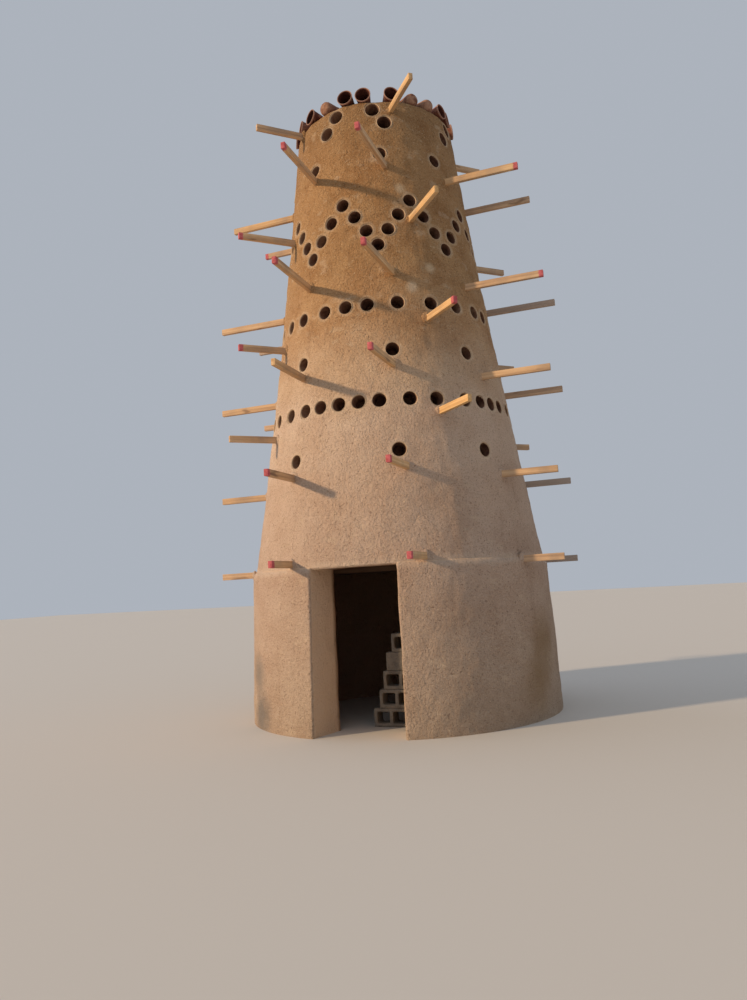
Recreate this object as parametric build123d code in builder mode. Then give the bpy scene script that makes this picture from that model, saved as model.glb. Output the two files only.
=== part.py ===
from build123d import *
import math
import os

# Earthen pigeon tower: a round, tapering, hollow tower with a walk-in doorway,
# clay nest pots in its wall, timber perches that run right through it and a ring
# of clay pots on its rim. Millimetres, +Z up, origin on the ground at the axis,
# the doorway faces -Y. Azimuths are in degrees from +X, anticlockwise.

# Wall outline
base_height = 1740.0
wall_height = 7300.0
foot_radius = 1855.0
base_top_radius = 1800.0
shaft_foot_radius = 1762.0
rim_radius = 1000.0
wall_bow = 37.0
base_thickness = 440.0
shaft_thickness = 380.0
rim_bevel = 28.0
wall_sides = 48

# Doorway: its head is the top of the base, its jambs are radial
door_azimuth = -88.3
door_width = 975.0

# The base between the jambs, in equal segments, and the lifts of earth above it.
# Marks are heights above the base. They stretch with the shaft, whose rim stands
# rim_drop above the highest mark, so every lift, row and perch follows the wall.
base_names = ("base_front_right", "base_right", "base_back", "base_left", "base_front_left")
lift_names = ("front", "right", "back", "left")
lift_marks = (1410.0, 2540.0, 3460.0, 4460.0)
lift_joints = (
    (-132.0, -48.0, 48.0, 132.0),
    (-129.0, -44.0, 41.5, 131.0),
    (-124.5, -40.5, 40.0, 124.0),
    (-113.0, -33.0, 67.0, 147.0),
    (-127.0, -43.0, 54.0, 126.0),
)

# Perches: pairs each way at five levels, and crossed diagonals between them.
# A mark is where the lower timber's top carries the upper timber. The shifts move
# the right and the left timber of a front-to-back pair to the right.
perch_width = 50.0
perch_height = 75.0
pair_marks = (4640.0, 3255.0, 2150.0, 990.0, 30.0)
pair_lengths = (3800.0, 4200.0, 4200.0, 4200.0, 4200.0)
pair_half_angle = 23.5
front_back_shifts = ((0.0, 0.0), (0.0, 0.0), (-55.0, 0.0), (0.0, -70.0), (100.0, 0.0))
cross_marks = (5460.0, 4015.0, 2705.0, 1605.0)
rim_drop = 100.0
cross_a_lengths = (3240.0, 3800.0, 3900.0, 4200.0)
cross_a_on_top = (True, True, False, False)
cross_a_azimuth = 45.0
cross_b_azimuths = (-50.5, -50.0, -45.0, -45.0)
cross_b_offsets = (-157.0, -77.0, -137.0, -137.0)
cross_b_lengths = (3300.0, 3800.0, 3900.0, 4200.0)

# Nest pots set in the wall, mouths flush with the plaster
pot_mouth = 160.0
pot_depth = 280.0
pot_sides = 8
pot_clearance = 5.0
zigzag_periods = 9
zigzag_peak = -93.0
zigzag_top = 4230.0
zigzag_rows = ((7.5, 4040.0), (14.0, 3850.0))
zigzag_bottom = 3660.0
long_row_mark = 1790.0
long_row_front = (-135, -123, -112, -103, -94, -85, -76, -63, -51, -37, -28, -20, -12)
long_row_back = 23
short_row_mark = 2930.0
short_row_front = (-131, -118, -103, -91, -80, -65, -48, -33, -19, -9)
short_row_back = 16
single_marks = (4840.0, 2370.0, 1220.0)
single_azimuths = (-150, -116, -69, -31, 29, 66, 114, 150)
peak_group_azimuth = -85.0
peak_group_count = 4
peak_group_rows = ((13.0, 5440.0), (20.5, 5260.0))

# Clay pots lying on the rim, their axes radial
rim_pots_front = (-123, -108, -90.5, -78, -58, -42, -27, -14, -2)
rim_pots_back = 14
rim_pot_mouth = 195.0
rim_pot_end = 140.0
rim_pot_length = 250.0
rim_pot_wall = 10.0
rim_pot_sides = 12
rim_pot_overhang = 30.0
rim_pots_turned = (1, 5, 6, 11, 16, 18)

# Hollow blocks stacked dry on the ground inside the doorway
block_length = 400.0
block_height = 200.0
block_depth = 200.0
block_shell = 38.0
block_front = 1116.0
block_course_steps = (0.0, 75.0, 130.0, 175.0, 245.0)
block_plain_courses = (4,)
first_course_count = 2

seat_gap = 0.3
cut_over = 60.0
room_radius = base_top_radius - base_thickness
marked_height = cross_marks[0] + rim_drop


def on_wall(mark):
    """Height above the ground of a mark on the wall."""
    return base_height + mark * (wall_height - base_height) / marked_height


lift_tops = [on_wall(mark) for mark in lift_marks] + [wall_height]
pair_levels = [on_wall(mark) for mark in pair_marks]
cross_levels = [on_wall(mark) for mark in cross_marks]


def wall_radius(z):
    """Outer radius of the shaft at height z: a straight taper with a slight hollow."""
    rise = (z - base_height) / (wall_height - base_height)
    straight = shaft_foot_radius + (rim_radius - shaft_foot_radius) * rise
    return straight - 4 * wall_bow * rise * (1 - rise)


def outer_radius(z):
    """Outer radius of the whole tower at height z."""
    if z > base_height:
        return wall_radius(z)
    return foot_radius + (base_top_radius - foot_radius) * z / base_height


def facet_taper(start_radius, end_radius, length, sides):
    """Taper, in degrees, that takes a regular polygon from one corner radius to another."""
    return math.degrees(math.atan((start_radius - end_radius) * math.cos(math.pi / sides) / length))


def facing_plane(azimuth, radius, z):
    """A plane that faces outwards, with its origin at the given radius and height."""
    turn = math.radians(azimuth)
    outward = (math.cos(turn), math.sin(turn), 0)
    side = (-math.sin(turn), math.cos(turn), 0)
    origin = (radius * outward[0], radius * outward[1], z)
    return Plane(origin=origin, x_dir=side, z_dir=outward)


def pair_offset(level):
    """Distance from the axis of each timber of a pair, so that it meets the wall at its angle."""
    return outer_radius(level) * math.sin(math.radians(pair_half_angle))


def row_azimuths(front, back_count):
    """The front pots as they stand, and the rest spread evenly round the back."""
    step = (360 + front[0] - front[-1]) / (back_count + 1)
    return list(front) + [front[-1] + step * (i + 1) for i in range(back_count)]


# Each timber as (azimuth, sideways offset, underside, length)
front_back_perches = {}
left_right_perches = {}
pair_sizes = zip(pair_levels, pair_lengths, front_back_shifts)
for number, (level, length, (right_shift, left_shift)) in enumerate(pair_sizes, start=1):
    offset = pair_offset(level)
    front_back_perches[number] = [
        (90.0, -offset - right_shift, level, length),
        (90.0, offset - left_shift, level, length),
    ]
    under = level - perch_height
    left_right_perches[number] = [(0.0, side * offset, under, length) for side in (-1, 1)]

cross_a_perches = []
cross_b_perches = []
for index, (level, a_on_top) in enumerate(zip(cross_levels, cross_a_on_top)):
    under = level - perch_height
    a_under, b_under = (level, under) if a_on_top else (under, level)
    cross_a_perches.append((cross_a_azimuth, 0.0, a_under, cross_a_lengths[index]))
    b_place = (cross_b_azimuths[index], cross_b_offsets[index])
    cross_b_perches.append((*b_place, b_under, cross_b_lengths[index]))

all_perches = cross_a_perches + cross_b_perches
for pairs in (front_back_perches, left_right_perches):
    for pair in pairs.values():
        all_perches += pair


def perch_ends(perch):
    """Azimuth and mid height of each end of a timber, where it leaves the wall."""
    azimuth, offset, underside, length = perch
    middle = underside + perch_height / 2
    lean = math.degrees(math.asin(offset / outer_radius(middle)))
    return ((azimuth + lean, middle), (azimuth + 180 - lean, middle))


def clear_of_perches(azimuth, z):
    """True where a pot mouth leaves enough wall between itself and every timber."""
    reach = pot_mouth / 2 + perch_width / 2 + pot_clearance
    for perch in all_perches:
        for end_azimuth, middle in perch_ends(perch):
            turn = (azimuth - end_azimuth + 180) % 360 - 180
            across = abs(math.radians(turn)) * outer_radius(z)
            if across < reach and abs(z - middle) < pot_mouth / 2 + perch_height / 2:
                return False
    return True


# Every nest pot as (azimuth, mark), then as (azimuth, height) where no timber is in its way
nest_pots = [(a, long_row_mark) for a in row_azimuths(long_row_front, long_row_back)]
nest_pots += [(a, short_row_mark) for a in row_azimuths(short_row_front, short_row_back)]
nest_pots += [(a, mark) for mark in single_marks for a in single_azimuths]
for period in range(zigzag_periods):
    peak = zigzag_peak + 360 / zigzag_periods * period
    nest_pots += [(peak, zigzag_top), (peak + 180 / zigzag_periods, zigzag_bottom)]
    for swing, mark in zigzag_rows:
        nest_pots += [(peak + side * swing, mark) for side in (-1, 1)]
for group in range(peak_group_count):
    middle_azimuth = peak_group_azimuth + 360 / peak_group_count * group
    for swing, mark in peak_group_rows:
        nest_pots += [(middle_azimuth + side * swing, mark) for side in (-1, 1)]
nest_pots = [(a, on_wall(mark)) for a, mark in nest_pots if clear_of_perches(a, on_wall(mark))]


def tapered_wall(low, high, low_radius, high_radius, mode=Mode.ADD):
    """Add or cut a many-sided taper between two heights."""
    with BuildSketch(Plane.XY.offset(low)) as outline:
        RegularPolygon(low_radius, wall_sides)
    taper = facet_taper(low_radius, high_radius, high - low, wall_sides)
    extrude(outline.sketch, amount=high - low, taper=taper, mode=mode)


def keep_sector(low, high, start, sweep):
    """Keep only what lies between two azimuths."""
    with BuildSketch(Plane.XY.offset(low)) as sector:
        with BuildLine():
            bow = CenterArc((0, 0), foot_radius + cut_over, start, sweep)
            Line((0, 0), bow @ 0)
            Line(bow @ 1, (0, 0))
        make_face()
    extrude(sector.sketch, amount=high - low, mode=Mode.INTERSECT)


def cut_perch_sockets(low, high):
    """Cut the through-sockets of every timber that crosses a wall between two heights."""
    for azimuth, offset, underside, length in all_perches:
        if underside + perch_height > low and underside < high:
            turn = math.radians(azimuth)
            origin = (-offset * math.sin(turn), offset * math.cos(turn), underside)
            with BuildSketch(Plane(origin, x_dir=(math.cos(turn), math.sin(turn), 0))) as socket:
                Rectangle(length + cut_over, perch_width)
            extrude(socket.sketch, amount=perch_height, mode=Mode.SUBTRACT)


def cut_nest_pots(low, high, start, sweep):
    """Cut the blind pots whose mouths open in one segment of the wall."""
    reach = math.degrees(pot_mouth / rim_radius)
    for azimuth, z in nest_pots:
        if low < z < high and (azimuth - start + reach) % 360 < sweep + 2 * reach:
            with BuildSketch(facing_plane(azimuth, wall_radius(z) - pot_depth, z)) as pot:
                RegularPolygon(pot_mouth / 2, pot_sides, rotation=180 / pot_sides)
            extrude(pot.sketch, amount=pot_depth + cut_over, mode=Mode.SUBTRACT)


os.makedirs("parts", exist_ok=True)

# Base wall, in segments from one jamb round to the other
door_half_angle = math.degrees(math.asin(door_width / 2 / base_top_radius))
base_start = door_azimuth + door_half_angle
base_sweep = (360 - 2 * door_half_angle) / len(base_names)
with BuildPart() as base_ring:
    tapered_wall(0, base_height, foot_radius, base_top_radius)
    with BuildSketch():
        Circle(room_radius)
    extrude(amount=base_height, mode=Mode.SUBTRACT)
for index, name in enumerate(base_names):
    with BuildPart() as base_segment:
        add(base_ring.part)
        keep_sector(0, base_height, base_start + base_sweep * index, base_sweep)
        cut_perch_sockets(0, base_height)
    base_segment.part.label = name
    export_step(base_segment.part, f"parts/{name}.step")

# Lifts of the shaft, each a ring in four segments
low = base_height
for lift, (high, joints) in enumerate(zip(lift_tops, lift_joints), start=1):
    low_inner = wall_radius(low) - shaft_thickness
    high_inner = wall_radius(high) - shaft_thickness
    with BuildPart() as lift_ring:
        tapered_wall(low, high, wall_radius(low), wall_radius(high))
        tapered_wall(low, high, low_inner, high_inner, Mode.SUBTRACT)
        if high == wall_height:
            chamfer(lift_ring.edges().group_by(Axis.Z)[-1], length=rim_bevel)
    for index, side in enumerate(lift_names):
        start = joints[index]
        sweep = (joints[(index + 1) % len(joints)] - start) % 360
        with BuildPart() as lift_segment:
            add(lift_ring.part)
            keep_sector(low, high, start, sweep)
            cut_perch_sockets(low, high)
            cut_nest_pots(low, high, start, sweep)
        name = f"lift_{lift}_{side}"
        lift_segment.part.label = name
        export_step(lift_segment.part, f"parts/{name}.step")
    low = high


def build_perches(name, perches):
    """Straight sawn timbers, one solid each."""
    with BuildPart() as timbers:
        for azimuth, offset, underside, length in perches:
            turn = math.radians(azimuth)
            origin = (-offset * math.sin(turn), offset * math.cos(turn), underside)
            with BuildSketch(Plane(origin, x_dir=(math.cos(turn), math.sin(turn), 0))):
                Rectangle(length, perch_width)
            extrude(amount=perch_height)
    timbers.part.label = name
    export_step(timbers.part, f"parts/{name}.step")


for number, pair in front_back_perches.items():
    build_perches(f"perches_front_back_{number}", pair)
for number, pair in left_right_perches.items():
    build_perches(f"perches_left_right_{number}", pair)
build_perches("diagonal_perches_a", cross_a_perches)
build_perches("diagonal_perches_b", cross_b_perches)


# One rim pot, from its mouth up to its closed end
mouth_radius = rim_pot_mouth / 2
end_radius = rim_pot_end / 2
hollow = rim_pot_length - rim_pot_wall
with BuildPart() as rim_pot:
    with BuildSketch():
        RegularPolygon(mouth_radius, rim_pot_sides)
    outer_taper = facet_taper(mouth_radius, end_radius, rim_pot_length, rim_pot_sides)
    extrude(amount=rim_pot_length, taper=outer_taper)
    with BuildSketch():
        RegularPolygon(mouth_radius - rim_pot_wall, rim_pot_sides)
    inner_taper = facet_taper(mouth_radius, end_radius, hollow, rim_pot_sides)
    extrude(amount=hollow, taper=inner_taper, mode=Mode.SUBTRACT)


def lay_rim_pots(name, places, mouth_out):
    """Copies of the pot on the rim, each lying along its lowest edge."""
    lean = math.atan2(mouth_radius - end_radius, rim_pot_length)
    rise = mouth_radius * math.cos(lean) + seat_gap
    front = rim_radius + rim_pot_overhang
    reach = front if mouth_out else front - rim_pot_length
    inwards = -math.cos(lean) if mouth_out else math.cos(lean)
    with BuildPart() as pots:
        for azimuth in places:
            turn = math.radians(azimuth)
            out = (math.cos(turn), math.sin(turn))
            mouth_plane = Plane(
                origin=(reach * out[0], reach * out[1], wall_height + rise),
                z_dir=(inwards * out[0], inwards * out[1], -math.sin(lean)),
            )
            with Locations(mouth_plane):
                add(rim_pot.part)
    pots.part.label = name
    export_step(pots.part, f"parts/{name}.step")


rim_azimuths = row_azimuths(rim_pots_front, rim_pots_back)
turned = [a for i, a in enumerate(rim_azimuths) if i in rim_pots_turned]
facing = [a for i, a in enumerate(rim_azimuths) if i not in rim_pots_turned]
lay_rim_pots("rim_pots_facing_out", facing, True)
lay_rim_pots("rim_pots_facing_in", turned, False)

# Block courses: two cells face the doorway, except where a block lies closed face out.
# The first course stands with its front corner against the round wall.
cell_width = (block_length - 3 * block_shell) / 2
corner = math.sqrt((room_radius - seat_gap) ** 2 - block_front ** 2)
stack_left = corner - first_course_count * block_length
for course, step in enumerate(block_course_steps, start=1):
    left = stack_left + step
    count = first_course_count if course == 1 else 1
    with BuildPart() as blocks:
        for place in range(count):
            middle = left + block_length * (place + 0.5)
            front_plane = Plane(
                origin=(middle, -block_front, block_height * (course - 0.5)),
                x_dir=(1, 0, 0),
                z_dir=(0, -1, 0),
            )
            with BuildSketch(front_plane):
                Rectangle(block_length, block_height)
            extrude(amount=-block_depth)
            if course not in block_plain_courses:
                with BuildSketch(front_plane):
                    with GridLocations(cell_width + block_shell, 0, 2, 1):
                        Rectangle(cell_width, block_height - 2 * block_shell)
                extrude(amount=-block_depth, mode=Mode.SUBTRACT)
            else:
                top_plane = Plane.XY.offset(block_height * course)
                with BuildSketch(top_plane):
                    with Locations((middle, -block_front + block_depth / 2)):
                        with GridLocations(cell_width + block_shell, 0, 2, 1):
                            Rectangle(cell_width, block_depth - 2 * block_shell)
                extrude(amount=-block_height, mode=Mode.SUBTRACT)
    name = f"block_course_{course}"
    blocks.part.label = name
    export_step(blocks.part, f"parts/{name}.step")
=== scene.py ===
import math
import random

import bmesh
import bpy
from mathutils import Matrix, Vector, kdtree


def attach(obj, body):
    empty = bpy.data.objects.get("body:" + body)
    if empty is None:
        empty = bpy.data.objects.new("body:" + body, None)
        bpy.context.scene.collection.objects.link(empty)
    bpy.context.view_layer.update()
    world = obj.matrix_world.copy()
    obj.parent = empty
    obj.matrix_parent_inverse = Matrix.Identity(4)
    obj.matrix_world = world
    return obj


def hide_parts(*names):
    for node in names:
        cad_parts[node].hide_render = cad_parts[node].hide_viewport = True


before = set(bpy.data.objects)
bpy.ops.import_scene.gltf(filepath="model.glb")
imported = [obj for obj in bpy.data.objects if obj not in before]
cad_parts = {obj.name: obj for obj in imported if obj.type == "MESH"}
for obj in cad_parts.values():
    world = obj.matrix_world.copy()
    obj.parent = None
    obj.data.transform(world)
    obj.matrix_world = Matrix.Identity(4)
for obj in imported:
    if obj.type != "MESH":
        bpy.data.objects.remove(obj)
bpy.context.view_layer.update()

# A round, tapering earthen tower with nest pots, timber perches and clay pots on its rim.
# Lengths are in metres and angles in degrees, unless a name or comment says otherwise.

# Wall outline
BASE_HEIGHT = 1.740
WALL_HEIGHT = 7.300
FOOT_RADIUS = 1.855
BASE_TOP_RADIUS = 1.800
ROOM_RADIUS = 1.360
SHAFT_FOOT_RADIUS = 1.762
RIM_RADIUS = 1.000
WALL_BOW = 0.037
SHAFT_THICKNESS = 0.380
RIM_ROUNDING = 0.045
RIM_CROWN = 0.020
DOOR_AZIMUTH = -88.3
DOOR_WIDTH = 0.975

# Nest pots in the wall
POT_RADIUS = 0.080
POT_DEPTH = 0.272
ZIGZAG_PERIODS = 9
ZIGZAG_PEAK = -93.0
ZIGZAG_TOP = 5.970
ZIGZAG_ROWS = ((7.5, 5.780), (14.0, 5.590))
ZIGZAG_BOTTOM = 5.400
LONG_ROW_LEVEL = 3.530
LONG_ROW_FRONT = (-135, -123, -112, -103, -94, -85, -76, -63, -51, -37, -28, -20, -12)
LONG_ROW_BACK = 23
SHORT_ROW_LEVEL = 4.670
SHORT_ROW_FRONT = (-131, -118, -103, -91, -80, -65, -48, -33, -19, -9)
SHORT_ROW_BACK = 16
SINGLE_LEVELS = (6.580, 4.110, 2.960)
SINGLE_AZIMUTHS = (-150, -116, -69, -31, 29, 66, 114, 150)
PEAK_GROUP_AZIMUTH = -85.0
PEAK_GROUP_COUNT = 4
PEAK_GROUP_ROWS = ((13.0, 7.180), (20.5, 7.000))
POT_TIMBER_GAP = 0.005

# Timbers: pairs each way, and crossed diagonals between them
TIMBER_WIDTH = 0.050
TIMBER_HEIGHT = 0.075
PAIR_LEVELS = (6.380, 4.995, 3.890, 2.730, 1.770)
PAIR_LENGTHS = (3.800, 4.200, 4.200, 4.200, 4.200)
PAIR_HALF_ANGLE = 23.5
FRONT_BACK_SHIFTS = ((0, 0), (0, 0), (-0.055, 0), (0, -0.070), (0.100, 0))
CROSS_LEVELS = (7.200, 5.755, 4.445, 3.345)
CROSS_A_ON_TOP = (True, True, False, False)
CROSS_A_AZIMUTH = 45.0
CROSS_A_LENGTHS = (3.240, 3.800, 3.900, 4.200)
CROSS_B_AZIMUTHS = (-50.5, -50.0, -45.0, -45.0)
CROSS_B_OFFSETS = (-0.157, -0.077, -0.137, -0.137)
CROSS_B_LENGTHS = (3.300, 3.800, 3.900, 4.200)

# Rim pots
RIM_POTS_FRONT = (-123, -108, -90.5, -78, -58, -42, -27, -14, -2)
RIM_POTS_BACK = 14
RIM_POT_MOUTH = 0.195
RIM_POT_LENGTH = 0.250
RIM_POT_OVERHANG = 0.030
RIM_POTS_TURNED = (1, 5, 6, 11, 16, 18)

# Blocks stacked dry on the ground inside the doorway
BLOCK_LENGTH = 0.400
BLOCK_HEIGHT = 0.200
BLOCK_DEPTH = 0.200
BLOCK_SHELL = 0.038
BLOCK_FRONT = 1.116
BLOCK_CORNER = 0.777
BLOCK_STEPS = (0.0, 0.075, 0.130, 0.175, 0.245)
BLOCK_PLAIN_COURSE = 4
FULL_COURSE_BLOCKS = 2

# Camera of the photograph: pinhole at a standing person's eye
EYE = Vector((3.045, -9.181, 1.552))
HEADING = Vector((-0.342, 0.940, 0.0))
PITCH = math.radians(6.19)
ROLL = math.radians(-3.19)
FOCAL_PIXELS = 771.0
LONG_SIDE_PIXELS = 1000.0
SENSOR_MM = 36.0
VIEW_DEPTH = 300

# Light: a low warm key from the left, a cool soft fill behind it and an even pale surround.
# A lamp is (name, azimuth, elevation, softness, strength, colour).
KEY_AZIMUTH = -140.0
LAMPS = (
    ("key", KEY_AZIMUTH, 19.0, 3.0, 3.0, "#FFE0B8"),
    ("fill", 170.0, 25.0, 60.0, 0.45, "#D3E2FF"),
)
SURROUND_COLOUR = "#DCE4F0"
SURROUND_STRENGTH = 0.58
FLOOR_SIZE = 120
FLOOR_COLOUR = "#CFC8BE"
FLOOR_ROUGHNESS = 0.9

WALL_SLOPE = (SHAFT_FOOT_RADIUS - RIM_RADIUS) / (WALL_HEIGHT - BASE_HEIGHT)
BASE_SLOPE = (FOOT_RADIUS - BASE_TOP_RADIUS) / BASE_HEIGHT


def wall_radius(z):
    """Outer radius of the shaft at height z."""
    rise = (z - BASE_HEIGHT) / (WALL_HEIGHT - BASE_HEIGHT)
    straight = SHAFT_FOOT_RADIUS + (RIM_RADIUS - SHAFT_FOOT_RADIUS) * rise
    return straight - 4 * WALL_BOW * rise * (1 - rise)


def base_radius(z):
    """Outer radius of the base at height z."""
    return FOOT_RADIUS + (BASE_TOP_RADIUS - FOOT_RADIUS) * z / BASE_HEIGHT


def outer_radius(z):
    """Outer radius of the whole tower at height z."""
    return wall_radius(z) if z > BASE_HEIGHT else base_radius(z)


def outward(azimuth):
    """Level unit vector at an azimuth."""
    turn = math.radians(azimuth)
    return Vector((math.cos(turn), math.sin(turn), 0))


def at(azimuth, radius, z):
    """The point at an azimuth, radius and height."""
    return outward(azimuth) * radius + Vector((0, 0, z))


def between(azimuth, other):
    """The angle between two azimuths, from 0 to 180."""
    return abs((azimuth - other + 180) % 360 - 180)


# Modelling helpers
def deselect():
    """Select nothing."""
    bpy.ops.object.select_all(action="DESELECT")


def only(piece):
    """Make one object the only selected one and the active one."""
    deselect()
    piece.select_set(True)
    bpy.context.view_layer.objects.active = piece


def edit():
    """Enter edit mode with everything selected."""
    bpy.ops.object.mode_set(mode="EDIT")
    bpy.ops.mesh.select_all(action="SELECT")


def close_edit():
    """Turn every normal outward and leave edit mode."""
    bpy.ops.mesh.select_all(action="SELECT")
    bpy.ops.mesh.normals_make_consistent(inside=False)
    bpy.ops.object.mode_set(mode="OBJECT")


def new_piece(name):
    """Name the object that an operator has just made."""
    piece = bpy.context.active_object
    piece.name = name
    piece.data.name = name
    return piece


def new_box(name, size, centre=(0, 0, 0)):
    """A box of a size round a centre."""
    deselect()
    bpy.ops.mesh.primitive_cube_add(size=1)
    box = new_piece(name)
    bpy.ops.transform.resize(value=size)
    bpy.ops.transform.translate(value=centre)
    bpy.ops.object.transform_apply(location=True, scale=True)
    return box


def pick_edges(piece, test):
    """In edit mode, select the edges that pass a test."""
    bpy.ops.mesh.select_all(action="DESELECT")
    bpy.ops.mesh.select_mode(type="EDGE")
    for edge in bmesh.from_edit_mesh(piece.data).edges:
        if test(edge):
            edge.select_set(True)
    bmesh.update_edit_mesh(piece.data)


def modify(piece, kind, **settings):
    """Add a modifier with its settings and apply it."""
    only(piece)
    modifier = piece.modifiers.new(kind, kind)
    for key, value in settings.items():
        setattr(modifier, key, value)
    bpy.ops.object.modifier_apply(modifier=modifier.name)


def cut(piece, cutter):
    """Cut a piece with a helper object, which is used up."""
    modify(piece, "BOOLEAN", operation="DIFFERENCE", solver="MANIFOLD", object=cutter)
    drop(cutter)


def subdivide(piece):
    """Split each face into sixteen, flat as it is."""
    modify(piece, "SUBSURF", subdivision_type="SIMPLE", levels=2, render_levels=2)


def roughen(piece, lumps, group=""):
    """Raise and lower the surface in (size, height) lumps, half their height each way."""
    for size, height in lumps:
        texture = bpy.data.textures.new(piece.name + "_lumps", "CLOUDS")
        texture.noise_scale = size
        texture.noise_depth = 2
        modify(
            piece,
            "DISPLACE",
            texture=texture,
            texture_coords="LOCAL",
            strength=height,
            mid_level=0.5,
            vertex_group=group,
        )


def smooth(piece, angle=40):
    """Shade smooth, but keep the edges that are sharper than an angle."""
    only(piece)
    bpy.ops.object.shade_smooth_by_angle(angle=math.radians(angle))


def joined(copies, name):
    """Join copies into one piece."""
    deselect()
    for piece in copies:
        piece.select_set(True)
    bpy.context.view_layer.objects.active = copies[0]
    bpy.ops.object.join()
    return new_piece(name)


def copy_to(piece, place):
    """A copy with its own mesh, which is moved into place."""
    mesh = piece.data.copy()
    mesh.transform(place)
    twin = bpy.data.objects.new(piece.name, mesh)
    bpy.context.scene.collection.objects.link(twin)
    return twin


def store(piece, name, kind, values):
    """Keep one value for each vertex, for the material to read."""
    layer = piece.data.attributes.new(name, kind, "POINT")
    for item, value in zip(layer.data, values):
        if kind == "FLOAT":
            item.value = value
        else:
            item.vector = value


def store_one(piece, name, value):
    """Keep the same value for every vertex."""
    store(piece, name, "FLOAT", [value] * len(piece.data.vertices))


def drop(piece):
    """Delete a helper object."""
    bpy.data.objects.remove(piece, do_unlink=True)


def turn_about(axis, angle):
    """A turn about an axis."""
    return Matrix.Rotation(math.radians(angle), 4, axis)


def place_at(azimuth, radius, z):
    """Local +X becomes the outward direction, with the origin at a radius and height."""
    return Matrix.Translation(at(azimuth, radius, z)) @ turn_about("Z", azimuth)


def extrude_rings(stations, axis):
    """Extrude the selected ring along an axis, 0 to 2, through (distance, radius) stations."""
    along, radius = stations[0]
    for next_along, next_radius in stations[1:]:
        move, scale, centre = [0, 0, 0], [next_radius / radius] * 3, [0, 0, 0]
        move[axis] = next_along - along
        scale[axis] = 1
        centre[axis] = next_along
        bpy.ops.mesh.extrude_region_move(TRANSFORM_OT_translate={"value": move})
        bpy.ops.transform.resize(value=scale, center_override=centre)
        along, radius = next_along, next_radius


def turned(name, sides, stations):
    """A closed shape turned about X through (x, radius) stations, filled at its two ends."""
    x, radius = stations[0]
    deselect()
    bpy.ops.mesh.primitive_circle_add(
        vertices=sides, radius=radius, fill_type="NGON", rotation=(0, math.pi / 2, 0)
    )
    piece = new_piece(name)
    bpy.ops.object.transform_apply(rotation=True)
    edit()
    bpy.ops.transform.translate(value=(x, 0, 0))
    extrude_rings(stations, 0)
    close_edit()
    return piece


# Materials. The sockets of a Mix node's colours share their names, so they go by number.
MIX_FACTOR, MIX_A, MIX_B, MIX_RESULT = 0, 6, 7, 2


def colour(code):
    """A hex sRGB colour as linear RGBA."""
    channels = [int(code[i:i + 2], 16) / 255 for i in (1, 3, 5)]
    linear = [c / 12.92 if c <= 0.04045 else ((c + 0.055) / 1.055) ** 2.4 for c in channels]
    return (*linear, 1.0)


def new_material(name):
    """A material and its node tree."""
    material = bpy.data.materials.new(name)
    material.use_nodes = True
    return material, material.node_tree


def add(tree, kind, output, inputs=None, stops=(), **settings):
    """Add a shader node with its settings and links, and give one of its outputs.

    An input is a value, a hex colour or another node's output. Stops are a colour ramp's
    (position, hex colour) pairs.
    """
    node = tree.nodes.new("ShaderNode" + kind)
    for key, value in settings.items():
        setattr(node, key, value)
    for key, value in (inputs or {}).items():
        if isinstance(value, bpy.types.NodeSocket):
            tree.links.new(value, node.inputs[key])
        else:
            node.inputs[key].default_value = colour(value) if isinstance(value, str) else value
    while stops and len(node.color_ramp.elements) < len(stops):
        node.color_ramp.elements.new(1.0)
    for index, (stop, code) in enumerate(stops):
        node.color_ramp.elements[index].position = stop
        node.color_ramp.elements[index].color = colour(code)
    return node.outputs[output]


def lumps_at(place, size, detail=3.0, roughness=0.55):
    """The inputs of noise whose lumps have a size in metres."""
    return {"Vector": place, "Scale": 1 / size, "Detail": detail, "Roughness": roughness}


def tinted(tree, tone, kind, code, value, low, high, start, end, within=None):
    """Blend a colour over a tone, its strength going from start to end.

    It does so as a value goes from low to high, and keeps to where within is 1.
    """
    strength = add(
        tree,
        "MapRange",
        "Result",
        {"Value": value, "From Min": low, "From Max": high, "To Min": start, "To Max": end},
        interpolation_type="SMOOTHSTEP",
    )
    if within:
        strength = add(tree, "Math", "Value", {0: strength, 1: within}, operation="MULTIPLY")
    return add(
        tree,
        "Mix",
        MIX_RESULT,
        {MIX_FACTOR: strength, MIX_A: tone, MIX_B: code},
        data_type="RGBA",
        blend_type=kind,
    )


def flecked(
    tree, tone, place, kind, code, size, low, high, strength,
    detail=3.0, roughness=0.55, stretch=None, within=None,
):
    """Blend a colour over a tone where noise lumps of a size pass from low to high.

    A stretch scales the lumps' axes, and the flecks keep to where within is 1.
    """
    if stretch:
        place = add(tree, "Mapping", "Vector", {"Vector": place, "Scale": stretch})
    lumps = add(tree, "TexNoise", "Fac", lumps_at(place, size, detail, roughness))
    return tinted(tree, tone, kind, code, lumps, low, high, 0.0, strength, within)


def wandering(tree, value, place, size, reach, detail=4.0):
    """A value that noise lumps of a size raise by up to a reach."""
    lumps = add(tree, "TexNoise", "Fac", lumps_at(place, size, detail))
    raised = add(tree, "Math", "Value", {0: lumps, 1: reach}, operation="MULTIPLY")
    return add(tree, "Math", "Value", {0: value, 1: raised}, operation="ADD")


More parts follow.
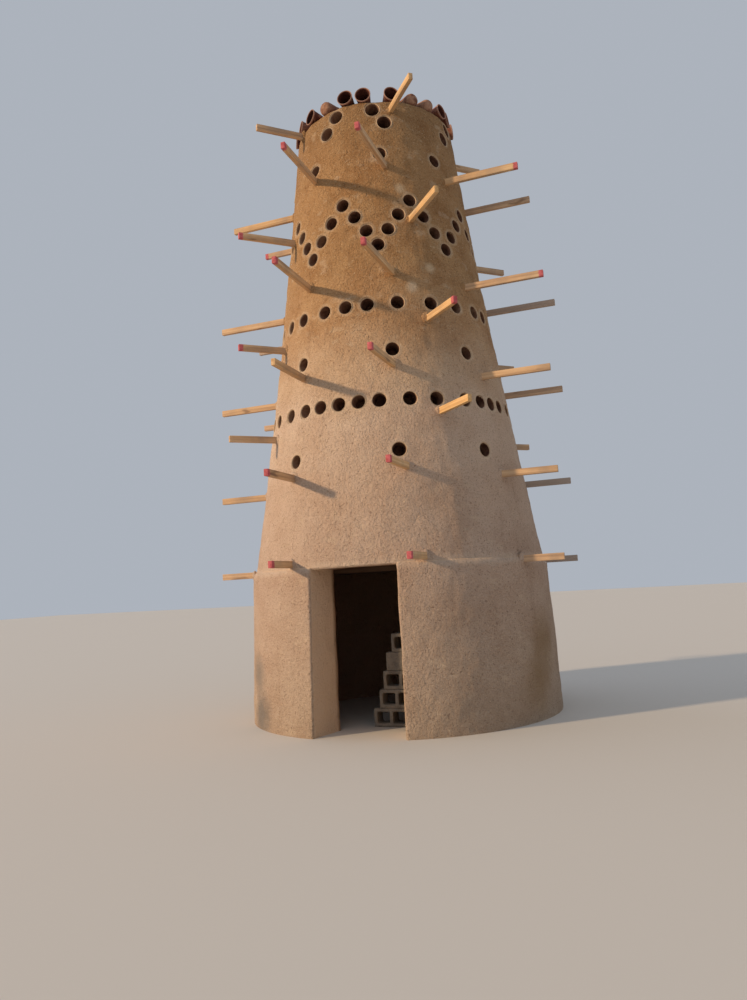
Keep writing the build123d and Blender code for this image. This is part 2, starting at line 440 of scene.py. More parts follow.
def upright_radius(tree, place, height, foot=BASE_HEIGHT, slope=WALL_SLOPE):
    """Distance from the axis, made even up a wall that leans in from its foot."""
    flat = add(tree, "Mapping", "Vector", {"Vector": place, "Scale": (1, 1, 0)})
    radius = add(tree, "VectorMath", "Value", {0: flat}, operation="LENGTH")
    rise = add(tree, "Math", "Value", {0: height, 1: foot}, operation="SUBTRACT")
    rise = add(tree, "Math", "Value", {0: rise, 1: 0.0}, operation="MAXIMUM")
    lean = add(tree, "Math", "Value", {0: rise, 1: slope}, operation="MULTIPLY")
    return add(tree, "Math", "Value", {0: radius, 1: lean}, operation="ADD")


def rough(tree, place, size, depth, detail=3.0, roughness=0.55, over=None):
    """Relief in noise lumps with a size and a depth in metres, over another relief."""
    lumps = add(tree, "TexNoise", "Fac", lumps_at(place, size, detail, roughness))
    inputs = {"Height": lumps, "Distance": depth}
    if over:
        inputs["Normal"] = over
    return add(tree, "Bump", "Normal", inputs)


def surface(tree, tone, relief, roughness, specular):
    """Give the shader its colour, its relief and its constant values."""
    shader = tree.nodes["Principled BSDF"]
    tree.links.new(tone, shader.inputs["Base Color"])
    tree.links.new(relief, shader.inputs["Normal"])
    shader.inputs["Roughness"].default_value = roughness
    shader.inputs["Specular IOR Level"].default_value = specular


# The plaster's tones from the ground up, as (share of the height, colour), and how far
# their levels wander
COAT_TONES = (
    (0.06, "#B7A08A"),
    (0.17, "#BEA590"),
    (0.27, "#C6AC98"),
    (0.36, "#CCB19B"),
    (0.46, "#D6BCA5"),
    (0.52, "#D1B497"),
    (0.61, "#C19B74"),
    (0.69, "#B79167"),
    (0.82, "#B38C62"),
    (0.94, "#A4815B"),
)
COAT_WANDER = 1.0
# A stain is (centre, radius, strength, colour): mud thrown up by rain at the left of the
# door, damp brown patches at the right, and small mended places in the upper coat
BASE_STAINS = (
    ((-1.283, -1.333, 0.16), 0.36, 0.90, "#7F766D"),
    ((-1.350, -1.240, 0.60), 0.32, 0.80, "#8A7F74"),
    ((1.780, -0.420, 0.92), 0.38, 0.36, "#86683F"),
    ((1.750, -0.520, 0.66), 0.46, 0.44, "#86683F"),
    ((1.700, -0.680, 0.34), 0.42, 0.40, "#86683F"),
    ((1.500, -1.050, 0.05), 0.55, 0.30, "#A08A76"),
)
SHAFT_STAINS = (
    ((0.706, -1.090, 4.856), 0.10, 0.55, "#E9D4B8"),
    ((0.600, -0.966, 6.120), 0.09, 0.50, "#E6CFAE"),
    ((0.881, -0.907, 5.114), 0.09, 0.50, "#E6CFAE"),
)
# A stain's full core, its ragged fringe and the size and reach of its lumps, as shares of
# its radius
STAIN_CORE, STAIN_FRINGE, STAIN_LUMPS, STAIN_REACH = 0.4, 1.25, 0.25, 0.5
# Where the bare mud inside begins, and where the wiped jambs end
SHAFT_RAW_EDGE = SHAFT_FOOT_RADIUS - 0.24
BASE_RAW_EDGE = ROOM_RADIUS + 0.015
JAMB_EDGE = FOOT_RADIUS - 0.012
RAW_FADE = 0.06
JAMB_FADE = 0.03
# The depth of the hand marks in each wall
SHAFT_HAND_MARKS = 0.026
BASE_HAND_MARKS = 0.018


def stained(tree, tone, place, centre, radius, strength, code):
    """Blend a stain with a ragged fringe over a tone."""
    away = add(tree, "VectorMath", "Value", {0: place, 1: centre}, operation="DISTANCE")
    away = wandering(tree, away, place, STAIN_LUMPS * radius, STAIN_REACH * radius)
    core, fringe = STAIN_CORE * radius, STAIN_FRINGE * radius
    return tinted(tree, tone, "MIX", code, away, core, fringe, strength, 0.0)


def plaster(name, raw_edge, hand_marks, stains, jamb_edge=None):
    """Hand-laid mud plaster: pinkish beige low down, ochre brown high up, with grit and chaff.

    The inner faces are bare mud. The jambs, within the jamb edge, were wiped smooth and paler.
    """
    material, tree = new_material(name)
    place = add(tree, "TexCoord", "Object")
    height = add(tree, "SeparateXYZ", "Z", {"Vector": place})
    # The upper coat is browner, and its edge wanders
    level = wandering(tree, height, place, 0.8, COAT_WANDER)
    full_height = WALL_HEIGHT + COAT_WANDER
    level = add(tree, "Math", "Value", {0: level, 1: full_height}, operation="DIVIDE")
    tone = add(tree, "ValToRGB", "Color", {"Fac": level}, COAT_TONES)
    upper = add(
        tree,
        "MapRange",
        "Result",
        {"Value": level, "From Min": 0.54, "From Max": 0.62},
        interpolation_type="SMOOTHSTEP",
    )
    # Large soft patches from uneven drying, and smaller ones in the upper coat
    tone = flecked(
        tree, tone, place, "MULTIPLY", "#CDB6A2",
        size=0.5, detail=4.0, low=0.35, high=0.70, strength=0.30,
    )
    tone = flecked(
        tree, tone, place, "MULTIPLY", "#BFA277",
        size=0.24, detail=5.0, roughness=0.62, low=0.44, high=0.70, strength=0.34, within=upper,
    )
    # Pale thin smears where the mud was wiped
    tone = flecked(
        tree, tone, place, "MIX", "#D9C2A6",
        size=0.21, stretch=(1, 1, 1.6), low=0.58, high=0.74, strength=0.32,
    )
    # Faint rain streaks, long in height
    tone = flecked(
        tree, tone, place, "MULTIPLY", "#9A7A5E",
        size=1.0, stretch=(7.0, 7.0, 0.55), low=0.54, high=0.74, strength=0.12,
    )
    # Stones and straw ends that show as dark specks, fine grit, and pale chaff
    tone = flecked(
        tree, tone, place, "MULTIPLY", "#6E5440",
        size=0.026, detail=2.0, low=0.63, high=0.70, strength=0.42,
    )
    tone = flecked(
        tree, tone, place, "MULTIPLY", "#94775E",
        size=0.015, roughness=0.65, low=0.50, high=0.66, strength=0.34,
    )
    tone = flecked(
        tree, tone, place, "MIX", "#E8CFAC",
        size=0.026, detail=1.0, stretch=(1, 1, 3), low=0.65, high=0.72, strength=0.40,
    )
    for centre, radius, strength, code in stains:
        tone = stained(tree, tone, place, centre, radius, strength, code)
    # A band of paler slip round each pot's mouth
    near_pot = add(tree, "Attribute", "Fac", attribute_name="near_pot")
    tone = tinted(tree, tone, "MIX", "#E3CDB0", near_pot, 0.4, 1.0, 0.0, 0.24)
    # A dried crust along the joint between the base and the shaft
    ragged = wandering(tree, height, place, 0.12, 0.10)
    fades, ends = BASE_HEIGHT + 0.07, BASE_HEIGHT + 0.15
    crust = add(
        tree,
        "MapRange",
        "Result",
        {"Value": ragged, "From Min": fades, "From Max": ends, "To Min": 1.0, "To Max": 0.0},
        interpolation_type="SMOOTHSTEP",
    )
    begins, full = BASE_HEIGHT - 0.02, BASE_HEIGHT + 0.04
    tone = tinted(tree, tone, "MIX", "#DCC8B2", ragged, begins, full, 0.0, 0.28, crust)
    if jamb_edge:
        inset = upright_radius(tree, place, height, 0.0, BASE_SLOPE)
        wiped = jamb_edge - JAMB_FADE
        tone = tinted(tree, tone, "MIX", "#DBBD9E", inset, wiped, jamb_edge, 0.85, 0.0)
    inset = upright_radius(tree, place, height)
    tone = tinted(tree, tone, "MIX", "#9C7C64", inset, raw_edge, raw_edge + RAW_FADE, 1.0, 0.0)
    # Hand marks, then lumps, then grain
    relief = rough(tree, place, 0.11, hand_marks, 5.0, 0.62)
    relief = rough(tree, place, 0.032, 0.025, 4.0, 0.65, relief)
    relief = rough(tree, place, 0.018, 0.014, 3.0, 0.65, relief)
    surface(tree, tone, relief, roughness=0.95, specular=0.12)
    return material


def timber():
    """Sawn softwood with long grain, weathered grey brown, with red paint on some ends."""
    material, tree = new_material("sawn_timber")
    place = add(tree, "Attribute", "Vector", attribute_name="along")
    freshness_and_light = add(tree, "Attribute", "Fac", attribute_name="freshness_and_light")
    lengthwise = add(tree, "Mapping", "Vector", {"Vector": place, "Scale": (1.2, 40, 40)})
    grain = add(tree, "TexNoise", "Fac", lumps_at(lengthwise, 1.0, 5.0))
    aged = ((0.25, "#9C8270"), (0.5, "#C2A287"), (0.75, "#DDBD9B"))
    fresh = ((0.25, "#B48A5C"), (0.5, "#DBAE74"), (0.75, "#EECB98"))
    aged, fresh = (add(tree, "ValToRGB", "Color", {"Fac": grain}, tones) for tones in (aged, fresh))
    # Aged and fresh tones mix by freshness, which partly stands for painted light and shade
    tone = add(
        tree,
        "Mix",
        MIX_RESULT,
        {MIX_FACTOR: freshness_and_light, MIX_A: aged, MIX_B: fresh},
        data_type="RGBA",
    )
    # Knots
    tone = flecked(
        tree, tone, place, "MIX", "#6E4A30",
        size=1.0, detail=1.0, stretch=(3, 12, 12), low=0.66, high=0.74, strength=0.6,
    )
    # Rain-grey stretches, and all of the least fresh timbers, a grey that is partly painted shade
    tone = flecked(
        tree, tone, place, "MIX", "#928072",
        size=0.30, low=0.40, high=0.72, strength=0.50,
    )
    tone = tinted(tree, tone, "MIX", "#AA9D93", freshness_and_light, -0.10, 0.24, 0.80, 0.0)
    # Painted shade: inside the tower the wood is darkened, where it lies in the wall's shade
    ground = add(tree, "TexCoord", "Object")
    height = add(tree, "SeparateXYZ", "Z", {"Vector": ground})
    inset = upright_radius(tree, ground, height)
    painted_shade_full, painted_shade_none = SHAFT_FOOT_RADIUS - 0.30, SHAFT_FOOT_RADIUS - 0.10
    tone = tinted(tree, tone, "MIX", "#54392A", inset, painted_shade_full, painted_shade_none, 0.85, 0.0)
    # Red marking paint reaches a few centimetres along, with an uneven edge
    from_end = add(tree, "Attribute", "Fac", attribute_name="from_end")
    ragged = wandering(tree, from_end, place, 0.02, 0.03, detail=3.0)
    worn = add(tree, "TexNoise", "Fac", lumps_at(place, 0.03))
    red = add(tree, "ValToRGB", "Color", {"Fac": worn}, ((0.3, "#AA4450"), (0.7, "#CE6872")))
    tone = tinted(tree, tone, "MIX", red, ragged, 0.055, 0.075, 0.92, 0.0)
    relief = add(tree, "Bump", "Normal", {"Height": grain, "Distance": 0.003})
    surface(tree, tone, relief, roughness=0.80, specular=0.22)
    return material


# How much painted shade, with some soot, darkens a pot inside, and the values that mark_pot() gives
# to its parts
RIM_POT_INSIDE_SHADE_AND_SOOT = 0.75
LINER_INSIDE_SHADE_AND_SOOT = 0.35
ON_OUTSIDE, ON_LIP, ON_INSIDE = -1.0, 0.5, 2.0


def terracotta(name, inside_shade_and_soot, deep, mid, pale, lip):
    """Unglazed fired clay, each pot its own tone: dusty outside, rubbed lip, and inside darkened by
    painted shade with some soot.
    """
    material, tree = new_material(name)
    place = add(tree, "TexCoord", "Object")
    along = add(tree, "Attribute", "Fac", attribute_name="along")
    shade = add(tree, "Attribute", "Fac", attribute_name="shade")
    lumps = add(tree, "TexNoise", "Fac", lumps_at(place, 0.09, 4.0))
    shade = add(tree, "Math", "Value", {0: lumps, 1: shade}, operation="ADD")
    tones = ((0.28, deep), (0.52, mid), (0.78, pale))
    tone = add(tree, "ValToRGB", "Color", {"Fac": shade}, tones)
    outside = add(
        tree,
        "MapRange",
        "Result",
        {"Value": along, "From Min": ON_OUTSIDE, "From Max": 0.0, "To Min": 1.0, "To Max": 0.15},
        interpolation_type="SMOOTHSTEP",
    )
    tone = flecked(
        tree, tone, place, "MIX", "#B08A70",
        size=0.045, detail=4.0, low=0.46, high=0.70, strength=0.55, within=outside,
    )
    lip_ends = add(
        tree,
        "MapRange",
        "Result",
        {"Value": along, "From Min": 0.7, "From Max": 1.0, "To Min": 1.0, "To Max": 0.0},
        interpolation_type="SMOOTHSTEP",
    )
    tone = tinted(tree, tone, "MIX", lip, along, 0.0, 0.3, 0.0, 0.75, lip_ends)
    # Painted shade, with some soot, darkens the inside of each pot
    tone = tinted(tree, tone, "MULTIPLY", "#7C5A58", along, 1.0, ON_INSIDE, 0.0, inside_shade_and_soot)
    surface(tree, tone, rough(tree, place, 0.014, 0.003), roughness=0.85, specular=0.25)
    return material


def concrete():
    """Rough-cast hollow block: grey with brown dust and open pores."""
    material, tree = new_material("cast_block")
    place = add(tree, "TexCoord", "Object")
    lumps = add(tree, "TexNoise", "Fac", lumps_at(place, 0.14, 4.0))
    tone = add(tree, "ValToRGB", "Color", {"Fac": lumps}, ((0.3, "#6F665C"), (0.7, "#928779")))
    tone = flecked(
        tree, tone, place, "MULTIPLY", "#6B6058",
        size=0.008, detail=2.0, low=0.58, high=0.68, strength=0.5,
    )
    surface(tree, tone, rough(tree, place, 0.008, 0.003), roughness=0.95, specular=0.15)
    return material


# Where the timbers and the pots are
def row_azimuths(front, back_count):
    """The front pots as they stand, and the rest spread evenly round the back."""
    gap = (360 + front[0] - front[-1]) / (back_count + 1)
    return list(front) + [front[-1] + gap * (i + 1) for i in range(back_count)]


# Each node's timbers as (azimuth, sideways offset, underside, length)
perches = {"diagonal_perches_a": [], "diagonal_perches_b": []}
pair_sizes = zip(PAIR_LEVELS, PAIR_LENGTHS, FRONT_BACK_SHIFTS)
for number, (level, length, (right_shift, left_shift)) in enumerate(pair_sizes, start=1):
    offset = outer_radius(level) * math.sin(math.radians(PAIR_HALF_ANGLE))
    under = level - TIMBER_HEIGHT
    perches[f"perches_front_back_{number}"] = [
        (90.0, -offset - right_shift, level, length),
        (90.0, offset - left_shift, level, length),
    ]
    perches[f"perches_left_right_{number}"] = [
        (0.0, side * offset, under, length) for side in (-1, 1)
    ]
for index, (level, a_on_top) in enumerate(zip(CROSS_LEVELS, CROSS_A_ON_TOP)):
    under = level - TIMBER_HEIGHT
    a_under, b_under = (level, under) if a_on_top else (under, level)
    a_place = (CROSS_A_AZIMUTH, 0.0)
    b_place = (CROSS_B_AZIMUTHS[index], CROSS_B_OFFSETS[index])
    perches["diagonal_perches_a"].append((*a_place, a_under, CROSS_A_LENGTHS[index]))
    perches["diagonal_perches_b"].append((*b_place, b_under, CROSS_B_LENGTHS[index]))
all_timbers = sum(perches.values(), [])


def clear_of_perches(azimuth, z):
    """True where a pot's mouth isn't crossed by a timber."""
    reach = POT_RADIUS + TIMBER_WIDTH / 2 + POT_TIMBER_GAP
    for timber_azimuth, offset, underside, _ in all_timbers:
        middle = underside + TIMBER_HEIGHT / 2
        lean = math.degrees(math.asin(offset / outer_radius(middle)))
        for end in (timber_azimuth + lean, timber_azimuth + 180 - lean):
            across = math.radians(between(azimuth, end)) * outer_radius(z)
            if across < reach and abs(z - middle) < POT_RADIUS + TIMBER_HEIGHT / 2:
                return False
    return True


nest_pots = [(a, LONG_ROW_LEVEL) for a in row_azimuths(LONG_ROW_FRONT, LONG_ROW_BACK)]
nest_pots += [(a, SHORT_ROW_LEVEL) for a in row_azimuths(SHORT_ROW_FRONT, SHORT_ROW_BACK)]
nest_pots += [(a, level) for level in SINGLE_LEVELS for a in SINGLE_AZIMUTHS]
for period in range(ZIGZAG_PERIODS):
    peak = ZIGZAG_PEAK + 360 / ZIGZAG_PERIODS * period
    nest_pots += [(peak, ZIGZAG_TOP), (peak + 180 / ZIGZAG_PERIODS, ZIGZAG_BOTTOM)]
    for swing, level in ZIGZAG_ROWS:
        nest_pots += [(peak + side * swing, level) for side in (-1, 1)]
for group in range(PEAK_GROUP_COUNT):
    middle_azimuth = PEAK_GROUP_AZIMUTH + 360 / PEAK_GROUP_COUNT * group
    for swing, level in PEAK_GROUP_ROWS:
        nest_pots += [(middle_azimuth + side * swing, level) for side in (-1, 1)]
nest_pots = [pot for pot in nest_pots if clear_of_perches(*pot)]


# The shaft
SHAFT_SIDES = 80
RING_STEP = 0.135
INNER_RINGS = 7
SOFFIT_ROUNDING = 0.014
RIM_ARC = (30, 60, 90)
RIM_TOP_SHARES = ((0.3, 0.7), (0.7, 0.3))
INNER_RIM_BEVEL = 0.03
SHAFT_LUMPS = ((0.42, 0.030), (0.11, 0.012))
BEYOND_WALL = 3


def shaft_stations():
    """(z, radius) up the outside, over the rounded rim and down the inside."""
    shoulder = WALL_HEIGHT - RIM_ROUNDING
    foot = BASE_HEIGHT + SOFFIT_ROUNDING
    count = round((shoulder - foot) / RING_STEP)
    stations = [(BASE_HEIGHT, wall_radius(BASE_HEIGHT) - SOFFIT_ROUNDING)]
    for i in range(count + 1):
        z = foot + (shoulder - foot) * i / count
        stations.append((z, wall_radius(z)))
    crown = wall_radius(shoulder) - RIM_ROUNDING
    for angle in map(math.radians, RIM_ARC):
        rise = RIM_ROUNDING * math.sin(angle)
        stations.append((shoulder + rise, crown + RIM_ROUNDING * math.cos(angle)))
    inner_rim = RIM_RADIUS - SHAFT_THICKNESS
    for inner_share, outer_share in RIM_TOP_SHARES:
        radius = inner_share * inner_rim + outer_share * crown
        stations.append((WALL_HEIGHT + RIM_CROWN, radius))
    stations.append((WALL_HEIGHT, inner_rim + INNER_RIM_BEVEL))
    inner_drop = BASE_HEIGHT - WALL_HEIGHT + INNER_RIM_BEVEL
    for i in range(INNER_RINGS + 1):
        z = WALL_HEIGHT - INNER_RIM_BEVEL + inner_drop * i / INNER_RINGS
        stations.append((z, wall_radius(z) - SHAFT_THICKNESS))
    return stations


def make_shaft():
    """The tapering wall above the doorway, with laid-on lumps."""
    stations = shaft_stations()
    z, radius = stations[0]
    deselect()
    bpy.ops.mesh.primitive_circle_add(vertices=SHAFT_SIDES, radius=radius, location=(0, 0, z))
    shaft = new_piece("shaft_wall")
    bpy.ops.object.transform_apply(location=True)
    edit()
    extrude_rings(stations, 2)
    pick_edges(shaft, lambda edge: edge.is_boundary)
    bpy.ops.mesh.bridge_edge_loops()
    close_edit()
    subdivide(shaft)
    roughen(shaft, SHAFT_LUMPS)
    return shaft


def surface_radius(wall, azimuth, z):
    """How far out the finished surface of a wall stands."""
    hit = wall.ray_cast(at(azimuth, BEYOND_WALL, z), -outward(azimuth))[1]
    return Vector((hit.x, hit.y, 0)).length


# The plaster turns softly into each pot's mouth: (depth from the surface, extra radius)
POT_LIP = ((-0.024, 0.0), (-0.011, 0.0015), (-0.003, 0.005), (0.004, 0.011), (0.026, 0.021))
POT_HOLE_SIDES = 24
POT_HOLE_SEED = 11
POT_SIZES = (0.96, 1.03)
WALL_LEAN = math.radians(7.8)
WIDE_POT_LEVEL = 6.900
WIDE_POT = 1.10
SLIP_WIDTH = 0.034
SLIP_LIMIT = 0.3


def widened(z):
    """The pots just under the rim have wider mouths."""
    k = WIDE_POT if z > WIDE_POT_LEVEL else 1.0
    return Matrix.Diagonal((1, k, k, 1))


def leaning():
    """A shear that lays a mouth along the leaning face of the wall."""
    lean = Matrix.Identity(4)
    lean[0][2] = -math.tan(WALL_LEAN)
    return lean


def cut_pots(wall):
    """Cut the pots' holes, each a little out of true."""
    draws = random.Random(POT_HOLE_SEED)
    lip = [(depth, POT_RADIUS + extra) for depth, extra in POT_LIP]
    cutter = turned("pot_cutter", POT_HOLE_SIDES, [(-POT_DEPTH, POT_RADIUS), *lip])
    lean = leaning()
    copies = []
    for azimuth, z in nest_pots:
        place = place_at(azimuth, surface_radius(wall, azimuth, z), z)
        size = draws.uniform(*POT_SIZES)
        oval = Matrix.Diagonal((1, size, size * draws.uniform(*POT_SIZES), 1))
        copies.append(copy_to(cutter, place @ lean @ oval @ widened(z)))
    drop(cutter)
    cut(wall, joined(copies, "pot_cutters"))


def mark_pots(wall, radii):
    """Store 1 at the edge of a pot's hole, fading to 0 where the slip round it ends."""
    tree = kdtree.KDTree(len(nest_pots))
    for index, ((azimuth, z), radius) in enumerate(zip(nest_pots, radii)):
        tree.insert(at(azimuth, radius, z), index)
    tree.balance()
    marks = []
    for vert in wall.data.vertices:
        centre, index, gap = tree.find(vert.co)
        way = outward(nest_pots[index][0])
        arm = vert.co - centre
        beyond = (arm - way * arm.dot(way)).length - POT_RADIUS - POT_LIP[-1][1]
        marks.append(min(max(1 - beyond / SLIP_WIDTH, 0), 1) if gap < SLIP_LIMIT else 0.0)
    store(wall, "near_pot", "FLOAT", marks)


# A liner's stations: the outside to the mouth, over its lip and back down the inside
LINER_SIDES = 16
LINER = (
    (-0.262, 0.050),
    (-0.235, 0.066),
    (-0.018, 0.0815),
    (-0.004, 0.0870),
    (0.001, 0.0835),
    (-0.004, 0.0790),
    (-0.022, 0.0755),
    (-0.225, 0.058),
)
LINER_LIP = (3, 5)
LINER_SEED = 12
LINER_PUSHES = (-0.006, 0.003)
LINER_TIPS = (-1, 2)
LINER_SHADES = (-0.12, 0.10)
# How much painted light pales the pots that face the key lamp, and how fast it falls off
SUN_PAINTED_LIGHT = 0.30
SUN_FALLOFF = 4


def mark_pot(pot, stations, lip):
    """Store which part of a pot each ring of it is on; its lip is from one ring to another."""
    sides = len(pot.data.vertices) // len(stations)
    first, last = lip
    values = []
    for vert in pot.data.vertices:
        ring = vert.index // sides
        values.append(ON_OUTSIDE if ring < first else ON_INSIDE if ring > last else ON_LIP)
    store(pot, "along", "FLOAT", values)


def make_liners(radii):
    """The clay pots inside the holes, their lips flush with the leaning plaster."""
    draws = random.Random(LINER_SEED)
    wall_lean = leaning()
    liner = turned("liner", LINER_SIDES, LINER)
    mark_pot(liner, LINER, LINER_LIP)
    copies = []
    for (azimuth, z), radius in zip(nest_pots, radii):
        push = Matrix.Translation((draws.uniform(*LINER_PUSHES), 0, 0)) @ wall_lean
        tip = turn_about("Y", draws.uniform(*LINER_TIPS))
        copies.append(copy_to(liner, place_at(azimuth, radius, z) @ push @ tip @ widened(z)))
        # Painted light: the pots that face the key lamp are made paler, as if the sun shone into
        # them
        painted_sunlight = max(outward(azimuth).dot(outward(KEY_AZIMUTH)), 0) ** SUN_FALLOFF
        store_one(copies[-1], "shade", draws.uniform(*LINER_SHADES) + SUN_PAINTED_LIGHT * painted_sunlight)
    drop(liner)
    liners = joined(copies, "nest_pot_liners")
    smooth(liners, 50)
    return liners


# The base: a soft shoulder, as (height, inset), where it meets the shaft
BASE_STEPS = 116
BASE_WALL_ROWS = 13
BASE_WALL_COLUMNS = 3
SHOULDER = ((1.690, 0.0), (1.722, 0.006), (1.750, 0.024), (1.776, 0.062))
BASE_LUMPS = ((0.42, 0.022), (0.11, 0.009))
GROUND_BAND = 0.001
# The jambs' rounded corners: how far from the jamb, the room's face and the top of the
# outer face their edges may be, and the least rise of an upright edge
JAMB_ROUNDING = 0.020
JAMB_REACH = 0.5
INNER_CORNER_REACH = 0.02
OUTER_CORNER_REACH = 0.09
UPRIGHT_RISE = 0.01


def make_base():
    """The walk-in base: an upright jamb section spun round to the other jamb."""
    half = math.degrees(math.asin(DOOR_WIDTH / 2 / BASE_TOP_RADIUS))
    rows = BASE_WALL_ROWS + len(SHOULDER) - 1
    deselect()
    bpy.ops.mesh.primitive_grid_add(
        x_subdivisions=BASE_WALL_COLUMNS, y_subdivisions=rows, size=1, rotation=(math.pi / 2, 0, 0)
    )
    base = new_piece("base_wall")
    bpy.ops.object.transform_apply(rotation=True)
    for vert in base.data.vertices:
        row = round((vert.co.z + 0.5) * rows)
        z, inset = SHOULDER[0][0] * row / BASE_WALL_ROWS, 0.0
        if row > BASE_WALL_ROWS:
            z, inset = SHOULDER[row - BASE_WALL_ROWS]
        outer = base_radius(z) - inset
        vert.co = (ROOM_RADIUS + (outer - ROOM_RADIUS) * (vert.co.x + 0.5), 0, z)
    base.data.transform(turn_about("Z", DOOR_AZIMUTH - half))
    edit()
    bpy.ops.mesh.spin(
        steps=BASE_STEPS, angle=math.radians(360 - 2 * half), center=(0, 0, 0), axis=(0, 0, 1)
    )
    bpy.ops.mesh.select_all(action="SELECT")
    bpy.ops.mesh.normals_make_consistent(inside=False)

    def on_jamb_corner(edge):
        first, second = (vert.co for vert in edge.verts)
        middle = (first + second) / 2
        azimuth = math.degrees(math.atan2(middle.y, middle.x))
        at_jamb = abs(between(azimuth, DOOR_AZIMUTH) - half) < JAMB_REACH
        upright = abs(first.z - second.z) > UPRIGHT_RISE
        radius = math.hypot(middle.x, middle.y)
        inner, outer = ROOM_RADIUS + INNER_CORNER_REACH, BASE_TOP_RADIUS - OUTER_CORNER_REACH
        return at_jamb and upright and not inner < radius < outer

    pick_edges(base, on_jamb_corner)
    bpy.ops.mesh.bevel(offset=JAMB_ROUNDING, segments=3, affect="EDGES")
    bpy.ops.object.mode_set(mode="OBJECT")
    subdivide(base)
    group = base.vertex_groups.new(name="above_ground")
    group.add([v.index for v in base.data.vertices if v.co.z > GROUND_BAND], 1.0, "ADD")
    roughen(base, BASE_LUMPS, group.name)
    base.vertex_groups.clear()
    return base


# Timbers
TIMBER_CUTS = 14
TIMBER_ARRIS = 0.004
TIMBER_CORNER = math.radians(60)
TIMBER_SEED = 31
GRAIN_SPREAD = 50
FRESHNESS_SPREAD = 0.12
UNPAINTED = 1.0
# A timber sways sideways and sags in waves, by (most, radians to a metre)
SWAY, SWAY_WAVE = 0.006, 2.2
SAG, SAG_WAVE = 0.004, 1.7
LAST_PHASE = 6
# A painted end is (timber's place in its node, -1 or 1 for the end)
PAINTED_ENDS = {
    "perches_front_back_1": ((0, -1), (1, -1)),
    "perches_front_back_2": ((0, -1), (1, -1)),
    "perches_front_back_3": ((0, -1),),
    "perches_front_back_4": ((0, -1), (1, -1)),
    "perches_front_back_5": ((0, -1), (1, -1)),
    "perches_left_right_1": ((0, 1), (1, -1)),
    "perches_left_right_2": ((0, 1),),
    "diagonal_perches_a": ((1, -1), (2, -1)),
    "diagonal_perches_b": ((2, 1),),
}
# How fresh the timbers look, in turn, by how their node's name starts: 0 is grey and 1 is fresh.
# This is partly weathering and partly painted light: the diagonal b timbers, whose faces the key
# lamp lights, are set fresher and golden, and the lower left-right timbers, seen on their shaded
# faces, greyer.
FRESHNESS_AND_LIGHT = {
    "perches_front": (0.58,),
    "perches_left_right_1": (0.72, 0.16),
    "perches_left_right_4": (0.34, 0.0),
    "perches_left_right_5": (0.24, 0.0),
    "perches_left": (0.46, 0.12),
    "diagonal_perches_a": (0.50,),
    "diagonal_perches_b": (0.88,),
}


def runs_along(edge):
    """True on an edge that runs along a timber."""
    first, second = (vert.co for vert in edge.verts)
    return abs(first.x - second.x) > TIMBER_HEIGHT


def make_timber(length):
    """One sawn timber along X, cut into short lengths so that it can sway."""
    piece = new_box("timber", (length, TIMBER_WIDTH, TIMBER_HEIGHT))
    bpy.ops.object.mode_set(mode="EDIT")
    pick_edges(piece, runs_along)
    bpy.ops.mesh.subdivide(number_cuts=TIMBER_CUTS)
    pick_edges(piece, lambda edge: edge.calc_face_angle(0) > TIMBER_CORNER)
    bpy.ops.mesh.bevel(offset=TIMBER_ARRIS, segments=2, affect="EDGES")
    bpy.ops.object.mode_set(mode="OBJECT")
    return piece


def make_timbers(node, draws):
    """Sawn timbers that run through the wall, none of them quite straight."""
    copies = []
    freshness_and_light = next(values for start, values in FRESHNESS_AND_LIGHT.items() if node.startswith(start))
    for index, (azimuth, offset, underside, length) in enumerate(perches[node]):
        piece = make_timber(length)
        ends = [end * length / 2 for place, end in PAINTED_ENDS.get(node, ()) if place == index]
        far = draws.uniform(0, GRAIN_SPREAD)
        places = [vert.co.copy() for vert in piece.data.vertices]
        store(piece, "along", "FLOAT_VECTOR", [place + Vector((far, far, 0)) for place in places])
        reach = [min([abs(end - place.x) for end in ends], default=UNPAINTED) for place in places]
        store(piece, "from_end", "FLOAT", reach)
        fresh = draws.uniform(-FRESHNESS_SPREAD, FRESHNESS_SPREAD)
        store_one(piece, "freshness_and_light", freshness_and_light[index % len(freshness_and_light)] + fresh)
        phase = draws.uniform(0, LAST_PHASE)
        sway = draws.uniform(-SWAY, SWAY)
        sag = draws.uniform(-SAG, SAG)
        for vert in piece.data.vertices:
            vert.co.y += sway * math.sin(SWAY_WAVE * vert.co.x + phase)
            vert.co.z += sag * math.sin(SAG_WAVE * vert.co.x + phase)
        shift = Matrix.Translation((0, offset, underside + TIMBER_HEIGHT / 2))
        piece.data.transform(turn_about("Z", azimuth) @ shift)
        copies.append(piece)
    timbers = joined(copies, node + "_wood")
    smooth(timbers, 35)
    return timbers


# A rim pot's stations: the closed end, the outside to its lip, and back down the inside.
# Those that face in show a fuller end.
RIM_POT_SIDES = 28
RIM_POT = (
    (-0.250, 0.020),
    (-0.245, 0.046),
    (-0.230, 0.062),
    (-0.205, 0.071),
    (-0.110, 0.081),
    (-0.026, 0.0905),
    (-0.018, 0.0955),
    (-0.004, 0.0975),
    (0.0, 0.0935),
    (-0.003, 0.088),
    (-0.022, 0.083),
    (-0.200, 0.062),
    (-0.228, 0.030),
)
RIM_POT_FULL = (
    (-0.250, 0.030),
    (-0.243, 0.058),
    (-0.225, 0.076),
    (-0.195, 0.086),
    (-0.110, 0.0895),
    (-0.026, 0.0920),
    *RIM_POT[6:],
)
RIM_POT_LIP = (6, 9)
RIM_POT_RESTS = (3, 7)
RIM_POT_SINK = 0.010
RIM_POT_SETBACK = 0.02
RIM_POT_TURN = 4
RIM_POT_TILT = 1.5
RIM_POT_SIZES = (0.93, 1.0)
RIM_POT_SHADES = (-0.12, 0.16)
FACING_IN_SEED = 21
FACING_OUT_SEED = 22


